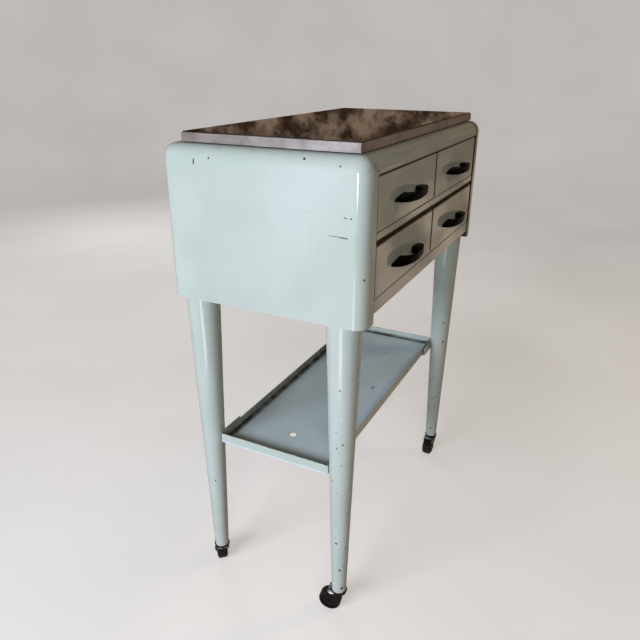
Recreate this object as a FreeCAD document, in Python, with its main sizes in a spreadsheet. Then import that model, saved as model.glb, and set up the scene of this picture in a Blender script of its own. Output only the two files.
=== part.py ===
import FreeCAD, Part
import os
import Sketcher

# Rolling salon trolley: an enamelled steel cabinet of four drawers on tapered tubular legs,
# with a glass top, a lower tray and four swivel casters.
# Frame: millimetres, +Z up, origin on the floor under the middle of the whole object.
# The drawers face -Y. "left" is -X, "front" is -Y.

doc = FreeCAD.newDocument("salon_trolley")

DIMENSIONS = {
    # cabinet shell
    "cabinet_length": 591.6,
    "cabinet_depth": 327.0,
    "cabinet_bottom": 552.3,
    "cabinet_top": 784.5,
    "edge_radius": 20.0,
    "skin": 1.2,
    "pan_width": 34.3,
    "step_height": 12.1,
    "step_inset": 46.0,
    "foot_reach": 10.0,
    "foot_notch": 8.0,
    # front: rails and drawer rows
    "face_recess": 1.2,
    "rail_depth": 20.0,
    "rail_end": 257.4,
    "rail_round": 2.8,
    "lap_gap": 0.2,
    "post_gap": 0.1,
    "top_rail_bottom": 757.0,
    "mid_rail_bottom": 669.2,
    "mid_rail_top": 680.8,
    "bottom_rail_top": 585.8,
    "post_recess": 6.5,
    "post_depth": 22.0,
    # drawers
    "drawer_outer": 256.7,
    "centre_gap": 6.0,
    "upper_bottom": 681.6,
    "upper_top": 756.2,
    "lower_bottom": 586.4,
    "lower_top": 663.0,
    "front_pan_depth": 14.0,
    "front_round": 2.4,
    "box_width": 240.0,
    "box_back": 139.0,
    "box_lift": 4.0,
    "box_height": 58.0,
    "runner_gap": 0.4,
    "runner_front_gap": 0.5,
    "runner_foot": 18.0,
    "runner_wall": 20.0,
    # handles
    "handle_span": 130.0,
    "handle_reach": 19.5,
    "handle_inner_span": 51.0,
    "handle_inner_reach": 17.0,
    "handle_height": 12.0,
    "handle_lens": 135.0,
    "handle_drop": 5.5,
    "handle_round": 0.9,
    "handle_screw_x": 46.0,
    "handle_screw_r": 1.6,
    "handle_screw_gap": 0.2,
    "handle_bore_depth": 8.0,
    "handle_head_r": 3.0,
    "handle_head_height": 2.0,
    # top
    "top_half_length": 278.4,
    "top_front": 144.7,
    "top_back": 134.0,
    "trim_thickness": 1.5,
    "trim_bottom": 786.0,
    "trim_top": 798.5,
    "glass_bottom": 796.0,
    "overall_height": 800.0,
    "glass_gap": 0.3,
    "board_inset": 2.0,
    # legs
    "leg_x": 269.2,
    "leg_y": 123.0,
    "leg_top_r": 26.6,
    "leg_tip_r": 12.4,
    "leg_tip": 45.0,
    "leg_wall": 1.5,
    "leg_cap": 3.0,
    "stud_r": 5.0,
    "stud_top": 565.0,
    "stud_hole_r": 5.3,
    "plate_width": 50.0,
    "plate_thickness": 3.0,
    "plate_margin": 1.0,
    "plate_reach": 8.0,
    "nut_corner_r": 9.2,
    "nut_height": 8.0,
    # shelf tray
    "tray_half_length": 275.0,
    "tray_half_depth": 102.0,
    "tray_bottom": 283.5,
    "tray_top": 300.0,
    "tray_hole_x": 202.0,
    "tray_hole_y": 2.0,
    "tray_hole_r": 6.5,
    "bracket_start": 212.0,
    "bracket_end": 257.7,
    "bracket_offset": 3.6,
    "bracket_thickness": 1.6,
    "bracket_foot": 22.0,
    "bracket_drop": 1.0,
    # casters
    "cup_r": 14.2,
    "cup_bottom": 43.3,
    "cup_top": 46.6,
    "cup_chamfer": 1.0,
    "cup_seat_r": 12.7,
    "spigot_r": 10.8,
    "spigot_length": 30.0,
    "stem_r": 4.0,
    "stem_top": 70.0,
    "stem_clearance": 0.05,
    "stem_headroom": 2.0,
    "trail": 15.0,
    "wheel_r": 19.5,
    "wheel_half_width": 9.0,
    "wheel_shoulder": 3.0,
    "wheel_crown": 0.9,
    "hub_r": 7.5,
    "hub_slope": 0.8,
    "dish_r": 14.5,
    "dish_slope": 1.0,
    "dish_depth": 2.2,
    "axle_r": 3.0,
    "axle_head_r": 4.4,
    "axle_head": 1.3,
    "fork_gap": 9.7,
    "fork_thickness": 1.6,
    "fork_plate_r": 13.0,
    "fork_plate_bottom": 40.0,
    "fork_plate_top": 42.4,
    "race_r": 10.5,
    "race_top": 43.0,
    "fork_boss_r": 5.2,
    "fork_front": 9.0,
    "fork_bridge": 4.0,
    "cheek_drop": 3.0,
    "cheek_round": 1.5,
    "swivel_front_left": 97.0,
    "swivel_back_left": 45.0,
    "swivel_front_right": 178.0,
    "swivel_back_right": 150.0,
}

sizes = doc.addObject("Spreadsheet::Sheet", "sizes")
for row, (alias, value) in enumerate(DIMENSIONS.items(), start=1):
    sizes.set(f"A{row}", alias)
    sizes.set(f"B{row}", str(value))
    sizes.setAlias(f"B{row}", alias)
doc.recompute()


def expr(text):
    """Turn a formula of plain dimension names into one that reads the sheet."""
    words = text.replace("(", " ( ").replace(")", " ) ").split()
    return " ".join(f"sizes.{word}" if word in DIMENSIONS else word for word in words)


# Formulas that many pieces share. The cabinet sits behind the origin by half of what the
# handles stand out of its front.
SHIFT = "( handle_reach - face_recess ) / 2"
FRONT = f"( {SHIFT} - cabinet_depth / 2 )"
BACK = f"( {SHIFT} + cabinet_depth / 2 )"
FACE = f"( {FRONT} + face_recess )"
HALF = "( cabinet_length / 2 )"
PAN_EDGE = "( cabinet_length / 2 - pan_width )"
PANEL_BOTTOM = "( cabinet_bottom + step_height )"
FOOT_TOP = "( cabinet_bottom + skin + skin )"
STEP_X = "( cabinet_length / 2 - step_inset )"

# Lengths closer than the tolerance are the same. A unit vector whose part along an axis is
# more than MAINLY runs along it. Edges that reach further off a face than the margin leave it.
TOLERANCE = 0.01
MAINLY = 0.5
EDGE_MARGIN = 0.1

SUBPARTS = []


def keep(piece, label):
    """Give a finished sub-part its label and put it on the list of files."""
    piece.Label = label
    SUBPARTS.append(piece)
    return piece


# ---------------------------------------------------------------- Part workbench helpers


def box(x_range, y_range, z_range):
    """A Part box between two formulas along each axis."""
    solid = doc.addObject("Part::Box", "Box")
    for side, axis, (low, high) in (
        ("Length", "x", x_range),
        ("Width", "y", y_range),
        ("Height", "z", z_range),
    ):
        solid.setExpression(side, expr(f"( {high} ) - ( {low} )"))
        solid.setExpression(f"Placement.Base.{axis}", expr(low))
    return solid


def cylinder(radius, x, y, z_range):
    """An upright Part cylinder between two heights."""
    solid = doc.addObject("Part::Cylinder", "Cylinder")
    solid.setExpression("Radius", expr(radius))
    solid.setExpression("Height", expr(f"( {z_range[1]} ) - ( {z_range[0]} )"))
    solid.setExpression("Placement.Base.x", expr(x))
    solid.setExpression("Placement.Base.y", expr(y))
    solid.setExpression("Placement.Base.z", expr(z_range[0]))
    return solid


def rod_along_y(radius, x, y_range, z):
    """A Part cylinder lying along Y between two formulas."""
    solid = doc.addObject("Part::Cylinder", "Rod")
    solid.Placement.Rotation = FreeCAD.Rotation(FreeCAD.Vector(1, 0, 0), -90)
    solid.setExpression("Radius", expr(radius))
    solid.setExpression("Height", expr(f"( {y_range[1]} ) - ( {y_range[0]} )"))
    solid.setExpression("Placement.Base.x", expr(x))
    solid.setExpression("Placement.Base.y", expr(y_range[0]))
    solid.setExpression("Placement.Base.z", expr(z))
    return solid


def cut(base, tool):
    """Take one solid out of another."""
    result = doc.addObject("Part::Cut", "Cut")
    result.Base = base
    result.Tool = tool
    return result


def fuse(*solids):
    """Join touching solids into one."""
    result = doc.addObject("Part::MultiFuse", "Fuse")
    result.Shapes = list(solids)
    result.Refine = True
    return result


def common(base, tool):
    """Keep what two solids share."""
    result = doc.addObject("Part::Common", "Common")
    result.Base = base
    result.Tool = tool
    return result


def group(*solids):
    """A node of separate identical solids."""
    result = doc.addObject("Part::Compound", "Group")
    result.Links = list(solids)
    return result


# ---------------------------------------------------------- PartDesign workbench helpers


def new_body():
    """An empty PartDesign body."""
    return doc.addObject("PartDesign::Body", "Body")


def origin_feature(body, role):
    """One of a body's own origin planes or axes."""
    for feature in body.Origin.OriginFeatures:
        if feature.Role == role:
            return feature
    raise ValueError(role)


def body_box(body, kind, x_range, y_range, z_range):
    """An additive or subtractive box feature between two formulas along each axis."""
    feature = body.newObject(f"PartDesign::{kind}Box", f"{kind}Box")
    feature.AttachmentSupport = [(origin_feature(body, "XY_Plane"), "")]
    feature.MapMode = "FlatFace"
    for side, axis, (low, high) in (
        ("Length", "x", x_range),
        ("Width", "y", y_range),
        ("Height", "z", z_range),
    ):
        feature.setExpression(side, expr(f"( {high} ) - ( {low} )"))
        feature.setExpression(f"AttachmentOffset.Base.{axis}", expr(low))
    return feature


def body_cylinder(body, kind, radius, x, y, z_range):
    """An additive or subtractive upright cylinder feature."""
    feature = body.newObject(f"PartDesign::{kind}Cylinder", f"{kind}Cylinder")
    feature.AttachmentSupport = [(origin_feature(body, "XY_Plane"), "")]
    feature.MapMode = "FlatFace"
    feature.setExpression("Radius", expr(radius))
    feature.setExpression("Height", expr(f"( {z_range[1]} ) - ( {z_range[0]} )"))
    feature.setExpression("AttachmentOffset.Base.x", expr(x))
    feature.setExpression("AttachmentOffset.Base.y", expr(y))
    feature.setExpression("AttachmentOffset.Base.z", expr(z_range[0]))
    return feature


def polygon_sketch(body, plane, corners):
    """A closed sketch whose every corner is tied to two formulas."""
    sketch = body.newObject("Sketcher::SketchObject", "Profile")
    sketch.AttachmentSupport = [(origin_feature(body, plane), "")]
    sketch.MapMode = "FlatFace"
    values = [[sizes.evalExpression(expr(item)) for item in corner] for corner in corners]
    points = [FreeCAD.Vector(float(across), float(up), 0) for across, up in values]
    count = len(points)
    for index in range(count):
        sketch.addGeometry(Part.LineSegment(points[index], points[(index + 1) % count]))
    for index in range(count):
        sketch.addConstraint(
            Sketcher.Constraint("Coincident", index, 2, (index + 1) % count, 1)
        )
    for index, (point, corner) in enumerate(zip(points, corners)):
        for kind, value, formula in zip(("DistanceX", "DistanceY"), point, corner):
            number = sketch.addConstraint(Sketcher.Constraint(kind, -1, 1, index, 1, value))
            sketch.setExpression(f"Constraints[{number}]", expr(formula))
    return sketch


def pad(body, sketch, length):
    """Extrude a sketch equally to both sides."""
    feature = body.newObject("PartDesign::Pad", "Pad")
    feature.Profile = sketch
    feature.Midplane = True
    feature.setExpression("Length", expr(length))
    return feature


def revolve(body, sketch):
    """Turn a sketch a full circle about its upright axis."""
    feature = body.newObject("PartDesign::Revolution", "Revolution")
    feature.Profile = sketch
    feature.ReferenceAxis = (sketch, ["V_Axis"])
    feature.Angle = 360
    return feature


def fillet(body, base, radius, chosen):
    """Round the edges of a feature that a test picks."""
    doc.recompute()
    names = [f"Edge{n}" for n, edge in enumerate(base.Shape.Edges, start=1) if chosen(edge)]
    feature = body.newObject("PartDesign::Fillet", "Fillet")
    feature.Base = (base, names)
    feature.setExpression("Radius", expr(radius))
    return feature


def on_lower_front(edge, limits):
    """True for the long lower edge of a block's front."""
    middle = edge.CenterOfMass
    return is_close(middle.z, limits.ZMin) and is_close(middle.y, limits.YMin)


def rolled_block(x_range, y_range, z_range, radius, chosen):
    """A solid block with the edges that a test picks rounded."""
    body = new_body()
    block = body_box(body, "Additive", x_range, y_range, z_range)
    doc.recompute()
    limits = block.Shape.BoundBox
    fillet(body, block, radius, lambda edge: chosen(edge, limits))
    return body


def edge_direction(edge):
    """Unit vector along a straight edge, with positive parts."""
    first, last = edge.Vertexes[0].Point, edge.Vertexes[-1].Point
    along = (last - first).normalize()
    return FreeCAD.Vector(abs(along.x), abs(along.y), abs(along.z))


def is_close(first, second):
    """True when two lengths are the same within the tolerance."""
    return abs(first - second) < TOLERANCE


# ------------------------------------------------------------------------ cabinet shell


def end_panel(label, side):
    """A pressed pan: end face with front, back, top and bottom flanges, edges rolled."""

    def rolled(edge, limits):
        middle, along = edge.CenterOfMass, edge_direction(edge)
        outer_x = limits.XMin if side < 0 else limits.XMax
        on_outer = is_close(middle.x, outer_x)
        on_top = is_close(middle.z, limits.ZMax)
        if along.z > MAINLY:
            return on_outer
        if along.y > MAINLY:
            return on_outer and on_top
        return on_top

    def across(outer_end, inner_end):
        if side > 0:
            return inner_end, outer_end
        return f"0 - ( {outer_end} )", f"0 - ( {inner_end} )"

    outside = rolled_block(
        across(HALF, PAN_EDGE), (FRONT, BACK), ("cabinet_bottom", "cabinet_top"),
        "edge_radius", rolled,
    )
    inside = rolled_block(
        across(f"{HALF} - skin", f"{PAN_EDGE} - edge_radius"), (f"{FRONT} + skin", f"{BACK} - skin"),
        ("cabinet_bottom + skin", "cabinet_top - skin"), "edge_radius - skin", rolled,
    )
    holes = [
        cylinder("stud_hole_r", f"{side} * leg_x", f"{SHIFT} + {row} * leg_y",
                 ("cabinet_bottom - skin", "cabinet_bottom + 3 * skin"))
        for row in (-1, 1)
    ]
    return keep(cut(cut(outside, inside), group(*holes)), label)


def top_panel():
    """The lid sheet between the end panels, rolled down at the front and the back.

    Its front lip ends in a small rounded edge above the upper drawers.
    """

    def rolled(edge, limits):
        along = edge_direction(edge)
        return along.x > MAINLY and is_close(edge.CenterOfMass.z, limits.ZMax)

    outside = rolled_block(
        (f"lap_gap - {PAN_EDGE}", "rail_end"), (FRONT, BACK),
        ("top_rail_bottom", "cabinet_top"), "edge_radius", rolled,
    )
    limits = outside.Shape.BoundBox
    fillet(outside, outside.Tip, "rail_round", lambda edge: on_lower_front(edge, limits))
    inside = rolled_block(
        (f"0 - {HALF}", HALF), (f"{FRONT} + skin", f"{BACK} - skin"),
        ("top_rail_bottom - edge_radius", "cabinet_top - skin"), "edge_radius - skin", rolled,
    )
    return keep(cut(outside, inside), "top_panel")


def back_panel():
    """A flat sheet between the end panels' back flanges."""
    sheet = box(
        (f"lap_gap - {PAN_EDGE}", f"{PAN_EDGE} - lap_gap"), (f"{BACK} - skin", BACK),
        (PANEL_BOTTOM, "top_rail_bottom"),
    )
    return keep(sheet, "back_panel")


def bottom_panel():
    """The floor sheet, stepped down at each end onto the end panels' bottom flanges."""
    depth = (f"{FACE} + rail_depth", f"{BACK} - skin")
    pieces = [box((f"0 - {STEP_X}", STEP_X), depth, (PANEL_BOTTOM, f"{PANEL_BOTTOM} + skin"))]
    drop = ("cabinet_bottom + skin", f"{PANEL_BOTTOM} + skin")
    foot = ("cabinet_bottom + skin", FOOT_TOP)
    outer = f"( {HALF} - edge_radius )"
    pieces.append(box((f"0 - {STEP_X}", f"skin - {STEP_X}"), depth, drop))
    pieces.append(box((f"{STEP_X} - skin", STEP_X), depth, drop))
    pieces.append(box((f"0 - {outer} - foot_reach", f"0 - {STEP_X}"), depth, foot))
    pieces.append(box((STEP_X, f"{outer} + foot_reach"), depth, foot))
    corner_back = f"{BACK} - edge_radius"
    corner_front = f"{FRONT} + edge_radius"
    holes = []
    for side in (-1, 1):
        for row in (-1, 1):
            holes.append(
                cylinder("stud_hole_r", f"{side} * leg_x", f"{SHIFT} + {row} * leg_y",
                         ("cabinet_bottom", f"{FOOT_TOP} + skin"))
            )
        x_range = (f"{outer} - foot_notch", f"{outer} + edge_radius")
        if side < 0:
            x_range = (f"0 - {outer} - edge_radius", f"foot_notch - {outer}")
        z_range = ("cabinet_bottom", f"{FOOT_TOP} + skin")
        holes.append(box(x_range, (f"{FRONT} - skin", corner_front), z_range))
        holes.append(box(x_range, (corner_back, f"{BACK} + skin"), z_range))
    return keep(cut(fuse(*pieces), group(*holes)), "bottom_panel")


def front_rail(label, z_range):
    """A channel across the front, open at the back, its face lapping the left post."""
    x_range = (f"lap_gap - {PAN_EDGE}", "rail_end")
    outer = rolled_block(
        x_range, (FACE, f"{FACE} + rail_depth"), z_range, "rail_round", on_lower_front
    )
    inner = box(
        (f"0 - {HALF}", HALF), (f"{FACE} + skin", f"{FACE} + rail_depth + skin"),
        (f"{z_range[0]} + skin", f"{z_range[1]} - skin"),
    )
    notch = box((f"0 - {HALF}", "0 - rail_end"), (f"{FACE} + skin", BACK), z_range)
    return keep(cut(outer, group(inner, notch)), label)


def front_post(label, side):
    """An upright angle inside an end panel that carries the rail and runner ends."""
    y_front = f"( {FRONT} + post_recess )"
    z_range = ("cabinet_bottom + step_height + skin", "top_rail_bottom")
    wall_x = ("rail_end + post_gap", "rail_end + post_gap + skin")
    web_x = ("rail_end + post_gap", f"{HALF} - skin")
    if side < 0:
        wall_x = (f"0 - ( {wall_x[1]} )", f"0 - ( {wall_x[0]} )")
        web_x = (f"0 - ( {web_x[1]} )", f"0 - ( {web_x[0]} )")
    wall = box(wall_x, (y_front, f"{y_front} + post_depth"), z_range)
    web = box(web_x, (f"{FRONT} + edge_radius", f"{FRONT} + edge_radius + skin"), z_range)
    return keep(fuse(wall, web), label)


def centre_divider():
    """The upright sheet between the left and right drawers."""
    sheet = box(
        ("0 - skin / 2", "skin / 2"), (f"{FACE} + rail_depth", f"{BACK} - edge_radius"),
        (f"{PANEL_BOTTOM} + skin", "cabinet_top - skin"),
    )
    return keep(sheet, "centre_divider")


def drawer_runners(row):
    """Four L-section runners under the two drawers of a row."""
    top = f"( {row}_bottom + box_lift - runner_gap )"
    y_range = (f"{FACE} + rail_depth + runner_front_gap", f"{BACK} - skin")
    runners = []
    for side in (-1, 1):
        for inner, outer in (("skin / 2", 1), ("rail_end + post_gap", -1)):
            wall_x = (inner, f"{inner} + {outer} * skin")
            foot_x = (inner, f"{inner} + {outer} * runner_foot")
            pieces = []
            for x_range, z_range in (
                (wall_x, (f"{top} - skin", f"{top} + runner_wall")),
                (foot_x, (f"{top} - skin", top)),
            ):
                ends = [f"{side} * ( {end} )" for end in x_range]
                if side * outer < 0:
                    ends.reverse()
                pieces.append(box(tuple(ends), y_range, z_range))
            runners.append(fuse(*pieces))
    return keep(group(*runners), f"drawer_runners_{row}")


# ---------------------------------------------------------------------------------- top


def trim(label, long_side, side):
    """One aluminium edge strip with mitred ends."""
    body = new_body()
    outer_x, inner_x = "top_half_length", "( top_half_length - trim_thickness )"
    if long_side:
        edge = "top_front" if side < 0 else "top_back"
        outer_y = f"{SHIFT} + {side} * {edge}"
        inner_y = f"{SHIFT} + {side} * ( {edge} - trim_thickness )"
        corners = [
            (f"0 - {outer_x}", outer_y), (outer_x, outer_y),
            (inner_x, inner_y), (f"0 - {inner_x}", inner_y),
        ]
    else:
        front, back = f"{SHIFT} - top_front", f"{SHIFT} + top_back"
        corners = [
            (f"{side} * {outer_x}", front), (f"{side} * {outer_x}", back),
            (f"{side} * {inner_x}", f"{back} - trim_thickness"),
            (f"{side} * {inner_x}", f"{front} + trim_thickness"),
        ]
    sketch = polygon_sketch(body, "XY_Plane", corners)
    pad(body, sketch, "trim_top - trim_bottom")
    body.setExpression("Placement.Base.z", expr("( trim_top + trim_bottom ) / 2"))
    return keep(body, label)


def top_board():
    """The board that carries the glass, resting on the cabinet's lid."""
    inset = "( trim_thickness + board_inset )"
    board = box(
        (f"{inset} - top_half_length", f"top_half_length - {inset}"),
        (f"{SHIFT} - top_front + {inset}", f"{SHIFT} + top_back - {inset}"),
        ("cabinet_top", "glass_bottom"),
    )
    return keep(board, "top_board")


def glass_top():
    """The dark glass plate inside the trim, slightly proud of it, with arrised edges."""
    inset = "( trim_thickness + glass_gap )"
    body = new_body()
    plate = body_box(
        body, "Additive", (f"{inset} - top_half_length", f"top_half_length - {inset}"),
        (f"{SHIFT} - top_front + {inset}", f"{SHIFT} + top_back - {inset}"),
        ("glass_bottom", "overall_height"),
    )
    doc.recompute()
    top = plate.Shape.BoundBox.ZMax
    names = [
        f"Edge{n}" for n, edge in enumerate(plate.Shape.Edges, start=1)
        if is_close(edge.CenterOfMass.z, top)
    ]
    arris = body.newObject("PartDesign::Chamfer", "Arris")
    arris.Base = (plate, names)
    arris.setExpression("Size", expr("glass_gap"))
    return keep(body, "glass_top")


# --------------------------------------------------------------------------------- legs


def leg(label, side, row):
    """A tapered tube with a closed top, a threaded stud and an open foot."""
    body = new_body()
    inner_top = "( cabinet_bottom - leg_cap )"
    sketch = polygon_sketch(body, "XZ_Plane", [
        ("leg_tip_r - leg_wall", "leg_tip"),
        ("leg_tip_r", "leg_tip"),
        ("leg_top_r", "cabinet_bottom"),
        ("stud_r", "cabinet_bottom"),
        ("stud_r", "stud_top"),
        ("0", "stud_top"),
        ("0", inner_top),
        ("leg_top_r - leg_wall", inner_top),
    ])
    revolve(body, sketch)
    body.setExpression("Placement.Base.x", expr(f"{side} * leg_x"))
    body.setExpression("Placement.Base.y", expr(f"{SHIFT} + {row} * leg_y"))
    return keep(body, label)


def leg_mounting_plates():
    """Square steel plates on the bottom flanges, drilled for the leg studs."""
    plates = []
    z_range = (FOOT_TOP, f"{FOOT_TOP} + plate_thickness")
    for side in (-1, 1):
        x_range = (f"{STEP_X} + plate_margin", f"{HALF} - edge_radius + plate_reach")
        if side < 0:
            x_range = (f"0 - ( {x_range[1]} )", f"0 - ( {x_range[0]} )")
        for row in (-1, 1):
            centre_y = f"( {SHIFT} + {row} * leg_y )"
            plate = box(
                x_range, (f"{centre_y} - plate_width / 2", f"{centre_y} + plate_width / 2"),
                z_range,
            )
            hole = cylinder("stud_hole_r", f"{side} * leg_x", centre_y,
                            ("cabinet_bottom", f"{FOOT_TOP} + 2 * plate_thickness"))
            plates.append(cut(plate, hole))
    return keep(group(*plates), "leg_mounting_plates")


def leg_nuts():
    """Hexagon nuts that pull the leg studs up against the plates."""
    nuts = []
    bottom = f"( {FOOT_TOP} + plate_thickness )"
    for side in (-1, 1):
        for row in (-1, 1):
            prism = doc.addObject("Part::Prism", "Hexagon")
            prism.Polygon = 6
            prism.setExpression("Circumradius", expr("nut_corner_r"))
            prism.setExpression("Height", expr("nut_height"))
            prism.setExpression("Placement.Base.x", expr(f"{side} * leg_x"))
            prism.setExpression("Placement.Base.y", expr(f"{SHIFT} + {row} * leg_y"))
            prism.setExpression("Placement.Base.z", expr(bottom))
            thread = cylinder("stud_r", f"{side} * leg_x", f"{SHIFT} + {row} * leg_y",
                              ("cabinet_bottom", f"{bottom} + 2 * nut_height"))
            nuts.append(cut(prism, thread))
    return keep(group(*nuts), "leg_nuts")


# --------------------------------------------------------------------------- shelf tray


def shelf_tray():
    """A folded sheet tray with four upturned lips and one drilled hole."""
    body = new_body()
    half_y = "tray_half_depth"
    body_box(
        body, "Additive", ("0 - tray_half_length", "tray_half_length"),
        (f"{SHIFT} - {half_y}", f"{SHIFT} + {half_y}"), ("tray_bottom", "tray_top"),
    )
    body_box(
        body, "Subtractive", ("skin - tray_half_length", "tray_half_length - skin"),
        (f"{SHIFT} - {half_y} + skin", f"{SHIFT} + {half_y} - skin"),
        ("tray_bottom + skin", "tray_top + skin"),
    )
    body_cylinder(
        body, "Subtractive", "tray_hole_r", "0 - tray_hole_x", f"{SHIFT} + tray_hole_y",
        ("tray_bottom - skin", "tray_bottom + 2 * skin"),
    )
    return keep(body, "shelf_tray")


def shelf_brackets():
    """Angles welded to the legs: a foot under the tray and a strap outside its lip."""
    brackets = []
    for side in (-1, 1):
        x_range = ("bracket_start", "bracket_end")
        if side < 0:
            x_range = ("0 - bracket_end", "0 - bracket_start")
        for row in (-1, 1):
            outer = f"{SHIFT} + {row} * ( tray_half_depth + bracket_offset + bracket_thickness )"
            inner = f"{SHIFT} + {row} * ( tray_half_depth + bracket_offset )"
            foot_edge = f"{SHIFT} + {row} * ( tray_half_depth - bracket_foot )"
            strap_y = (outer, inner) if row < 0 else (inner, outer)
            foot_y = (outer, foot_edge) if row < 0 else (foot_edge, outer)
            bottom = "tray_bottom - bracket_thickness"
            strap = box(x_range, strap_y, (bottom, "tray_top - bracket_drop"))
            foot = box(x_range, foot_y, (bottom, "tray_bottom"))
            brackets.append(fuse(strap, foot))
    return keep(group(*brackets), "shelf_brackets")


# ------------------------------------------------------------------------------ drawers


def drawer_centre(side):
    """Formula of the middle of a drawer across the cabinet."""
    return f"( {side} * ( drawer_outer + centre_gap / 2 ) / 2 )"


def drawer_width():
    """Formula of the width of a drawer's front."""
    return "( drawer_outer - centre_gap / 2 )"


def handle_height(row):
    """Formula of the height of a drawer's handle above the floor."""
    return f"( ( {row}_bottom + {row}_top ) / 2 - handle_drop )"


def screw_axes(row, side):
    """Positions of a handle's two screws."""
    for end in (-1, 1):
        yield f"{drawer_centre(side)} + {end} * handle_screw_x", handle_height(row)


def drawer_front(label, row, side):
    """A pressed front pan, softly rounded at the face, open at the back, with screw holes."""
    centre, width = drawer_centre(side), drawer_width()
    x_low, x_high = f"{centre} - {width} / 2", f"{centre} + {width} / 2"
    bottom, top = f"{row}_bottom", f"{row}_top"

    def not_at_back(edge, limits):
        return not is_close(edge.CenterOfMass.y, limits.YMax)

    outside = rolled_block(
        (x_low, x_high), (FACE, f"{FACE} + front_pan_depth"), (bottom, top),
        "front_round", not_at_back,
    )
    inside = box(
        (f"{x_low} + skin", f"{x_high} - skin"),
        (f"{FACE} + skin", f"{FACE} + front_pan_depth + skin"),
        (f"{bottom} + skin", f"{top} - skin"),
    )
    holes = [
        rod_along_y("handle_screw_r + handle_screw_gap", x, (f"{FACE} - skin", f"{FACE} + 2 * skin"), z)
        for x, z in screw_axes(row, side)
    ]
    return keep(cut(outside, group(inside, *holes)), label)


def drawer_box(label, row, side):
    """The sheet tray behind a drawer's front, open at the top."""
    centre = drawer_centre(side)
    low = f"( {row}_bottom + box_lift )"
    x_low, x_high = f"{centre} - box_width / 2", f"{centre} + box_width / 2"
    y_low, y_high = f"{FACE} + skin", f"{SHIFT} + box_back"
    outer = box((x_low, x_high), (y_low, y_high), (low, f"{low} + box_height"))
    inner = box(
        (f"{x_low} + skin", f"{x_high} - skin"), (f"{y_low} + skin", f"{y_high} - skin"),
        (f"{low} + skin", f"{low} + box_height + skin"),
    )
    holes = [
        rod_along_y("handle_screw_r + handle_screw_gap", x, (FACE, f"{FACE} + 3 * skin"), z)
        for x, z in screw_axes(row, side)
    ]
    return keep(cut(outer, group(inner, *holes)), label)


def ellipse_block(across, along, turn, x, y, z, direction, height):
    """A solid of elliptical section, extruded along a direction."""
    outline = doc.addObject("Part::Ellipse", "Ellipse")
    outline.setExpression("MajorRadius", expr(across))
    outline.setExpression("MinorRadius", expr(along))
    outline.Placement.Rotation = turn
    for axis, formula in (("x", x), ("y", y), ("z", z)):
        outline.setExpression(f"Placement.Base.{axis}", expr(formula))
    solid = doc.addObject("Part::Extrusion", "Extrusion")
    solid.Base = outline
    solid.DirMode = "Custom"
    solid.Dir = direction
    solid.Solid = True
    solid.setExpression("LengthFwd", expr(height))
    return solid


def handle(label, row, side):
    """A bow pull: half an ellipse in plan with a narrower finger hole, lens-shaped from the front."""
    centre, height = drawer_centre(side), handle_height(row)
    flat, upward = FreeCAD.Rotation(), FreeCAD.Vector(0, 0, 1)
    upright = FreeCAD.Rotation(FreeCAD.Vector(1, 0, 0), 90)
    forward = FreeCAD.Vector(0, -1, 0)
    low, tall = f"{height} - handle_height", "2 * handle_height"
    outer = ellipse_block(
        "handle_span / 2", "handle_reach", flat, centre, FACE, low, upward, tall
    )
    inner = ellipse_block(
        "handle_inner_span / 2", "handle_inner_reach", flat, centre, FACE, low, upward, tall
    )
    lens = ellipse_block(
        "handle_lens / 2", "handle_height / 2", upright, centre, f"{FACE} + handle_reach",
        height, forward, "3 * handle_reach",
    )
    behind_face = box(
        (f"{centre} - handle_span", f"{centre} + handle_span"),
        (FACE, f"{FACE} + 2 * handle_reach"), (f"{low} - skin", f"{low} + {tall} + skin"),
    )
    bow = cut(common(cut(outer, inner), lens), behind_face)
    doc.recompute()
    face_y = bow.Shape.BoundBox.YMax
    rounded = doc.addObject("Part::Fillet", "HandleRound")
    rounded.Base = bow
    radius = DIMENSIONS["handle_round"]
    rounded.Edges = [
        (number, radius, radius) for number, edge in enumerate(bow.Shape.Edges, start=1)
        if edge.BoundBox.YMin < face_y - EDGE_MARGIN
    ]
    bores = [
        rod_along_y("handle_screw_r", x, (f"{FACE} - handle_bore_depth", f"{FACE} + skin"), z)
        for x, z in screw_axes(row, side)
    ]
    return keep(cut(rounded, group(*bores)), label)


def handle_screws(label, row, side):
    """Two pan-head screws from inside the drawer into the handle's feet."""
    screws = []
    seat = f"( {FACE} + 2 * skin )"
    for x, z in screw_axes(row, side):
        shank = rod_along_y(
            "handle_screw_r", x, (f"{FACE} - handle_bore_depth + handle_screw_gap", seat), z
        )
        head = rod_along_y("handle_head_r", x, (seat, f"{seat} + handle_head_height"), z)
        screws.append(fuse(shank, head))
    return keep(group(*screws), label)


# ------------------------------------------------------------------------------ casters


def place_caster(piece, corner, side, row):
    """Stand a caster piece under its leg, turned to where it trails."""
    piece.setExpression("Placement.Base.x", expr(f"{side} * leg_x"))
    piece.setExpression("Placement.Base.y", expr(f"{SHIFT} + {row} * leg_y"))
    piece.setExpression("Placement.Rotation.Angle", expr(f"swivel_{corner} * 1deg"))
    return piece


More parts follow.
